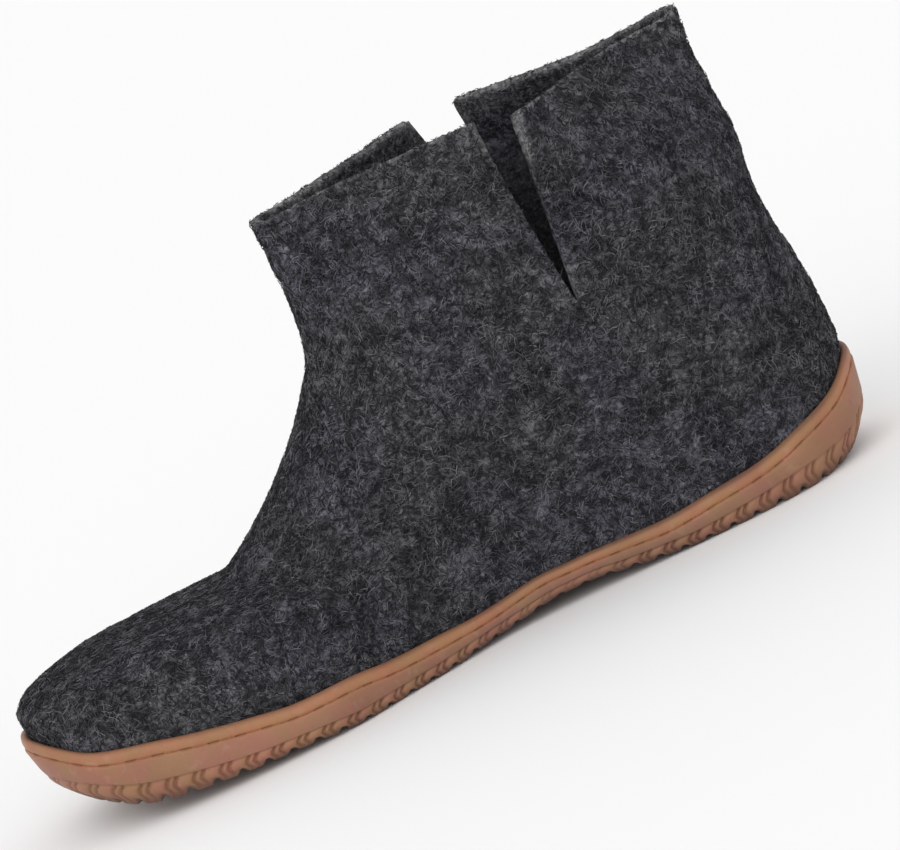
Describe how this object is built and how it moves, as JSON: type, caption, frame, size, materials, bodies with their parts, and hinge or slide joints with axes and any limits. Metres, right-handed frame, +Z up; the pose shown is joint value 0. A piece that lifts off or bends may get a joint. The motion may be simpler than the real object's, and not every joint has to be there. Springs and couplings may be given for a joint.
{
  "type": "wool boot",
  "caption": "Felted wool ankle boot for the right foot, with a raw-cut collar slit at both sides, on a rubber cup sole with a groove along its edge and a lugged tread.",
  "frame": {"origin": "on the floor, under the middle of the boot's bounding box", "axes": "-X to the toe and +X to the heel, -Y to the medial side and +Y to the lateral side, +Z up"},
  "size_m": [0.2884, 0.1008, 0.1512],
  "materials": {
    "charcoal_felt": "thick charcoal wool felt with paler fibres, matt and fuzzy",
    "gum_rubber": "caramel natural rubber, matt to satin",
    "insole_felt": "dark wool felt, matt"
  },
  "bodies": {
    "root": {"upper": "charcoal_felt", "outsole": "gum_rubber", "insole": "insole_felt"}
  },
  "joints": []
}
